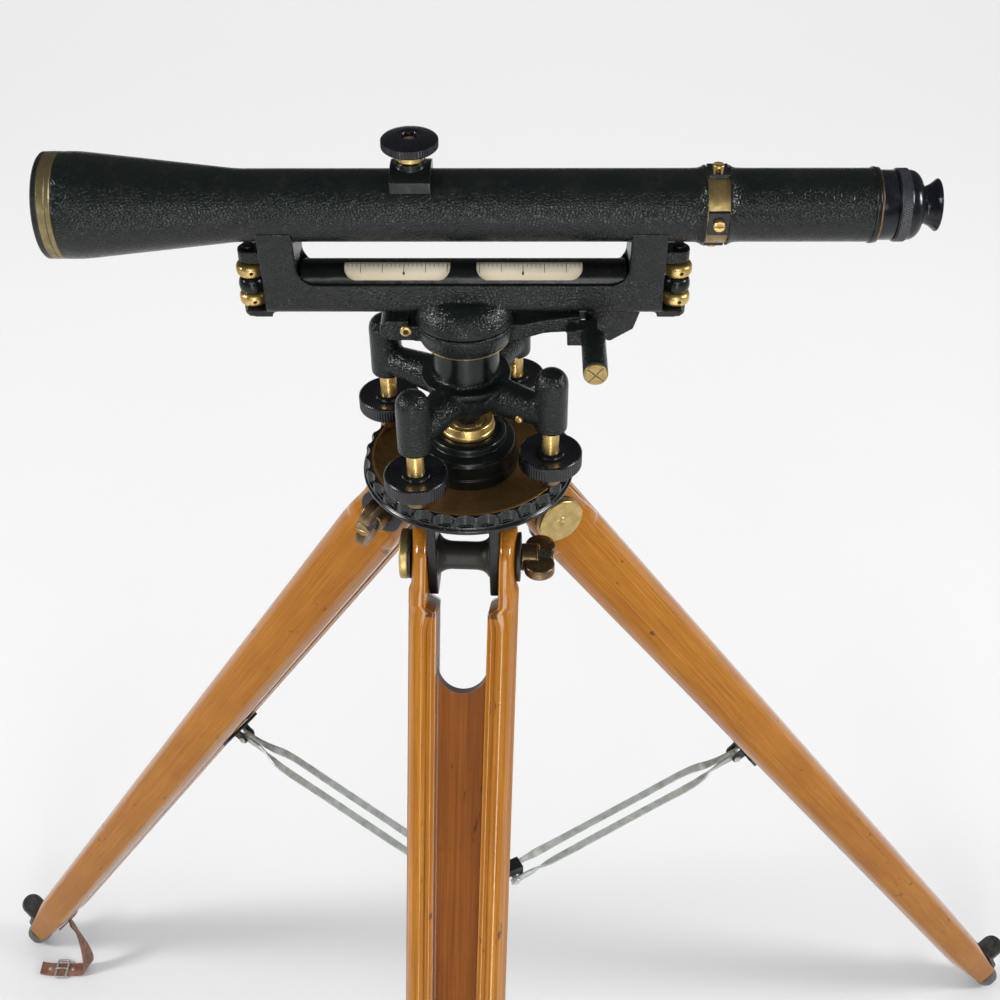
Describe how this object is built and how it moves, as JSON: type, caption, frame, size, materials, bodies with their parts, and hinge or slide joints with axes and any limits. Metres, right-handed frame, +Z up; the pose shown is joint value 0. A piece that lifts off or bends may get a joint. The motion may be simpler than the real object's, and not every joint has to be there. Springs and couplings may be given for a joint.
{
  "type": "dumpy level on a wooden tripod",
  "caption": "Surveyor's dumpy level: leather-grained telescope over a vial bar, four-screw levelling head, clamp and slow motion, on a folding framed wooden tripod.",
  "frame": {"origin": "station point on the ground, straight below the vertical axis", "axes": "+X along the telescope from objective to eyepiece, +Y away from the vial's viewing side, +Z up along the vertical axis"},
  "size_m": [1.264, 1.1232, 1.344],
  "materials": {
    "aged_brass": "aged lacquered brass",
    "ash": "varnished ash, straight grain",
    "bell_metal": "bell metal, turned",
    "black_iron": "semi-gloss black paint over cast iron, worn at the edges",
    "bright_brass": "turned brass, lightly tarnished",
    "ebonite": "polished black ebonite, finely ridged rim",
    "enamel": "black-green enamel with a fine leather grain",
    "eyepiece_black": "polished blue-black lacquer",
    "leather": "brown harness leather",
    "lens_glass": "polished optical glass",
    "mahogany": "varnished reddish hardwood panel",
    "nut_bronze": "handled bronze",
    "plate_bronze": "bronze-brown patinated brass",
    "shoe_iron": "bare worn iron",
    "zinc_steel": "zinc-plated steel strip"
  },
  "bodies": {
    "tripod_head": {"head_casting": "black_iron", "leg_bolts": "aged_brass", "base_plate": "plate_bronze", "scalloped_ring": "black_iron", "base_pillar": "enamel", "socket_ring": "bright_brass"},
    "front_leg": {"front_leg_rails": "ash", "front_leg_panel": "mahogany", "front_leg_shoe": "shoe_iron", "front_brace_bracket": "shoe_iron"},
    "front_brace": {"front_brace": "zinc_steel"},
    "front_wing_nut": {"front_wing_nut": "nut_bronze"},
    "right_leg": {"right_leg_rails": "ash", "right_leg_panel": "mahogany", "right_leg_shoe": "shoe_iron", "right_brace_bracket": "shoe_iron"},
    "right_brace": {"right_brace": "zinc_steel"},
    "right_wing_nut": {"right_wing_nut": "nut_bronze"},
    "left_leg": {"left_leg_rails": "ash", "left_leg_panel": "mahogany", "left_leg_shoe": "shoe_iron", "left_brace_bracket": "shoe_iron", "leg_strap": "leather"},
    "left_brace": {"left_brace": "zinc_steel"},
    "left_wing_nut": {"left_wing_nut": "nut_bronze"},
    "brace_hub": {"brace_hub": "black_iron"},
    "levelling_ball": {"levelling_ball": "bright_brass"},
    "levelling_head": {"levelling_spider": "enamel", "vertical_axis": "bell_metal", "arm_screws": "bright_brass"},
    "foot_shoe_1": {"foot_shoe_1": "bell_metal"},
    "foot_screw_1": {"foot_screw_1": "ebonite"},
    "foot_shoe_2": {"foot_shoe_2": "bell_metal"},
    "foot_screw_2": {"foot_screw_2": "ebonite"},
    "foot_shoe_3": {"foot_shoe_3": "bell_metal"},
    "foot_screw_3": {"foot_screw_3": "ebonite"},
    "foot_shoe_4": {"foot_shoe_4": "bell_metal"},
    "foot_screw_4": {"foot_screw_4": "ebonite"},
    "clamp_collar": {"clamp_collar": "enamel", "spring_box": "enamel"},
    "clamp_screw": {"clamp_screw": "bright_brass"},
    "spring_plunger": {"spring_plunger": "bell_metal"},
    "tangent_tip": {"tangent_tip": "bell_metal"},
    "tangent_screw": {"tangent_screw": "ebonite"},
    "telescope": {"level_bar": "enamel", "vial_tube": "eyepiece_black", "vial_glass": "lens_glass", "vial_adjusters": "bright_brass", "telescope_tube": "enamel", "objective_cell": "aged_brass", "objective_ring": "eyepiece_black", "objective_lens": "lens_glass", "reticle_ring": "aged_brass", "reticle_screws": "bright_brass", "eye_tube": "enamel", "focus_mount": "enamel"},
    "eyepiece_ring": {"eyepiece_ring": "eyepiece_black"},
    "eyepiece_barrel": {"eyepiece_barrel": "eyepiece_black"},
    "focus_knob": {"focus_knob": "ebonite"},
    "focus_slide": {"focus_slide": "bell_metal"}
  },
  "joints": [
    {"name": "front_leg_fold", "type": "hinge", "parent": "tripod_head", "child": "front_leg", "pos_m": [-0.00196, -0.04496, 1.08824], "axis": [0.999, -0.0436, 0], "range_deg": [0, 26.5]},
    {"name": "right_leg_fold", "type": "hinge", "parent": "tripod_head", "child": "right_leg", "pos_m": [0.03991, 0.02078, 1.08824], "axis": [-0.4617, 0.887, 0], "range_deg": [0, 26.5]},
    {"name": "left_leg_fold", "type": "hinge", "parent": "tripod_head", "child": "left_leg", "pos_m": [-0.03795, 0.02418, 1.08824], "axis": [-0.5373, -0.8434, 0], "range_deg": [0, 26.5]},
    {"name": "front_brace_pivot", "type": "hinge", "parent": "front_leg", "child": "front_brace", "pos_m": [-0.01069, -0.24475, 0.71206], "axis": [0.999, -0.0436, 0], "range_deg": [-109.68, 0]},
    {"name": "right_brace_pivot", "type": "hinge", "parent": "right_leg", "child": "right_brace", "pos_m": [0.2173, 0.11312, 0.71206], "axis": [-0.4617, 0.887, 0], "range_deg": [-109.68, 0]},
    {"name": "left_brace_pivot", "type": "hinge", "parent": "left_leg", "child": "left_brace", "pos_m": [-0.20662, 0.13163, 0.71206], "axis": [-0.5373, -0.8434, 0], "range_deg": [-109.68, 0]},
    {"name": "brace_hub_drop", "type": "slide", "parent": "tripod_head", "child": "brace_hub", "axis": [0, 0, 1], "range_m": [-0.2342, 0]},
    {"name": "front_wing_nut_turn", "type": "hinge", "parent": "tripod_head", "child": "front_wing_nut", "pos_m": [-0.00196, -0.04496, 1.08824], "axis": [0.999, -0.0436, 0], "continuous": true},
    {"name": "right_wing_nut_turn", "type": "hinge", "parent": "tripod_head", "child": "right_wing_nut", "pos_m": [0.03991, 0.02078, 1.08824], "axis": [-0.4617, 0.887, 0], "continuous": true},
    {"name": "left_wing_nut_turn", "type": "hinge", "parent": "tripod_head", "child": "left_wing_nut", "pos_m": [-0.03795, 0.02418, 1.08824], "axis": [-0.5373, -0.8434, 0], "continuous": true},
    {"name": "tilt_a", "type": "hinge", "parent": "tripod_head", "child": "levelling_ball", "pos_m": [0, 0, 1.15224], "axis": [0.866, -0.5, 0], "range_deg": [-2.5, 2.5]},
    {"name": "tilt_b", "type": "hinge", "parent": "levelling_ball", "child": "levelling_head", "pos_m": [0, 0, 1.15224], "axis": [0.5, 0.866, 0], "range_deg": [-2.5, 2.5]},
    {"name": "foot_shoe_1_slide", "type": "slide", "parent": "levelling_head", "child": "foot_shoe_1", "axis": [0, 0, 1], "range_m": [-0.0027, 0.0027]},
    {"name": "foot_screw_1_turn", "type": "hinge", "parent": "foot_shoe_1", "child": "foot_screw_1", "pos_m": [0.0286, 0.04954, 1.15124], "axis": [0, 0, 1], "range_deg": [-920, 920]},
    {"name": "foot_shoe_2_slide", "type": "slide", "parent": "levelling_head", "child": "foot_shoe_2", "axis": [0, 0, 1], "range_m": [-0.0027, 0.0027]},
    {"name": "foot_screw_2_turn", "type": "hinge", "parent": "foot_shoe_2", "child": "foot_screw_2", "pos_m": [-0.04954, 0.0286, 1.15124], "axis": [0, 0, 1], "range_deg": [-920, 920]},
    {"name": "foot_shoe_3_slide", "type": "slide", "parent": "levelling_head", "child": "foot_shoe_3", "axis": [0, 0, 1], "range_m": [-0.0027, 0.0027]},
    {"name": "foot_screw_3_turn", "type": "hinge", "parent": "foot_shoe_3", "child": "foot_screw_3", "pos_m": [-0.0286, -0.04954, 1.15124], "axis": [0, 0, 1], "range_deg": [-920, 920]},
    {"name": "foot_shoe_4_slide", "type": "slide", "parent": "levelling_head", "child": "foot_shoe_4", "axis": [0, 0, 1], "range_m": [-0.0027, 0.0027]},
    {"name": "foot_screw_4_turn", "type": "hinge", "parent": "foot_shoe_4", "child": "foot_screw_4", "pos_m": [0.04954, -0.0286, 1.15124], "axis": [0, 0, 1], "range_deg": [-920, 920]},
    {"name": "azimuth", "type": "hinge", "parent": "levelling_head", "child": "clamp_collar", "pos_m": [0, 0, 1.22124], "axis": [0, 0, 1], "continuous": true},
    {"name": "clamp_screw_turn", "type": "hinge", "parent": "clamp_collar", "child": "clamp_screw", "pos_m": [-0.033, -0.012, 1.23024], "axis": [0, 1, 0], "range_deg": [0, 180]},
    {"name": "fine_motion", "type": "hinge", "parent": "clamp_collar", "child": "telescope", "pos_m": [0, 0, 1.23624], "axis": [0, 0, 1], "range_deg": [-2, 2]},
    {"name": "spring_plunger_slide", "type": "slide", "parent": "clamp_collar", "child": "spring_plunger", "axis": [0, 1, 0], "range_m": [-0.0026, 0.0026]},
    {"name": "tangent_tip_slide", "type": "slide", "parent": "clamp_collar", "child": "tangent_tip", "axis": [0, 1, 0], "range_m": [-0.0026, 0.0026]},
    {"name": "tangent_screw_turn", "type": "hinge", "parent": "tangent_tip", "child": "tangent_screw", "pos_m": [0.0725, 0.02, 1.22964], "axis": [0, 1, 0], "range_deg": [-920, 920]},
    {"name": "eyepiece_ring_turn", "type": "hinge", "parent": "telescope", "child": "eyepiece_ring", "pos_m": [0.234, 0, 1.30264], "axis": [1, 0, 0], "range_deg": [0, 180]},
    {"name": "eyepiece_draw", "type": "slide", "parent": "telescope", "child": "eyepiece_barrel", "axis": [1, 0, 0], "range_m": [0, 0.004]},
    {"name": "focus_knob_turn", "type": "hinge", "parent": "telescope", "child": "focus_knob", "pos_m": [-0.0267, 0, 1.33264], "axis": [0, 0, 1], "range_deg": [-170, 170]},
    {"name": "focus_slide_travel", "type": "slide", "parent": "telescope", "child": "focus_slide", "axis": [1, 0, 0], "range_m": [-0.0145, 0.0145]}
  ],
  "couplings": [
    {"joint": "right_leg_fold", "follows": "front_leg_fold", "ratio": 1},
    {"joint": "left_leg_fold", "follows": "front_leg_fold", "ratio": 1},
    {"joint": "front_brace_pivot", "follows": "front_leg_fold", "ratio": -4.12},
    {"joint": "right_brace_pivot", "follows": "front_leg_fold", "ratio": -4.12},
    {"joint": "left_brace_pivot", "follows": "front_leg_fold", "ratio": -4.12},
    {"joint": "brace_hub_drop", "follows": "front_leg_fold", "m_per_rad": -0.50427},
    {"joint": "foot_shoe_1_slide", "follows": "tilt_a", "m_per_rad": -0.0572},
    {"joint": "foot_screw_1_turn", "follows": "tilt_a", "ratio": -359.4},
    {"joint": "foot_shoe_2_slide", "follows": "tilt_b", "m_per_rad": -0.0572},
    {"joint": "foot_screw_2_turn", "follows": "tilt_b", "ratio": -359.4},
    {"joint": "foot_shoe_3_slide", "follows": "tilt_a", "m_per_rad": 0.0572},
    {"joint": "foot_screw_3_turn", "follows": "tilt_a", "ratio": 359.4},
    {"joint": "foot_shoe_4_slide", "follows": "tilt_b", "m_per_rad": 0.0572},
    {"joint": "foot_screw_4_turn", "follows": "tilt_b", "ratio": 359.4},
    {"joint": "spring_plunger_slide", "follows": "fine_motion", "m_per_rad": 0.0725},
    {"joint": "tangent_tip_slide", "follows": "fine_motion", "m_per_rad": 0.0725},
    {"joint": "tangent_screw_turn", "follows": "fine_motion", "ratio": 455.53},
    {"joint": "eyepiece_draw", "follows": "eyepiece_ring_turn", "m_per_rad": 0.0012732},
    {"joint": "focus_slide_travel", "follows": "focus_knob_turn", "m_per_rad": -0.0047746}
  ]
}
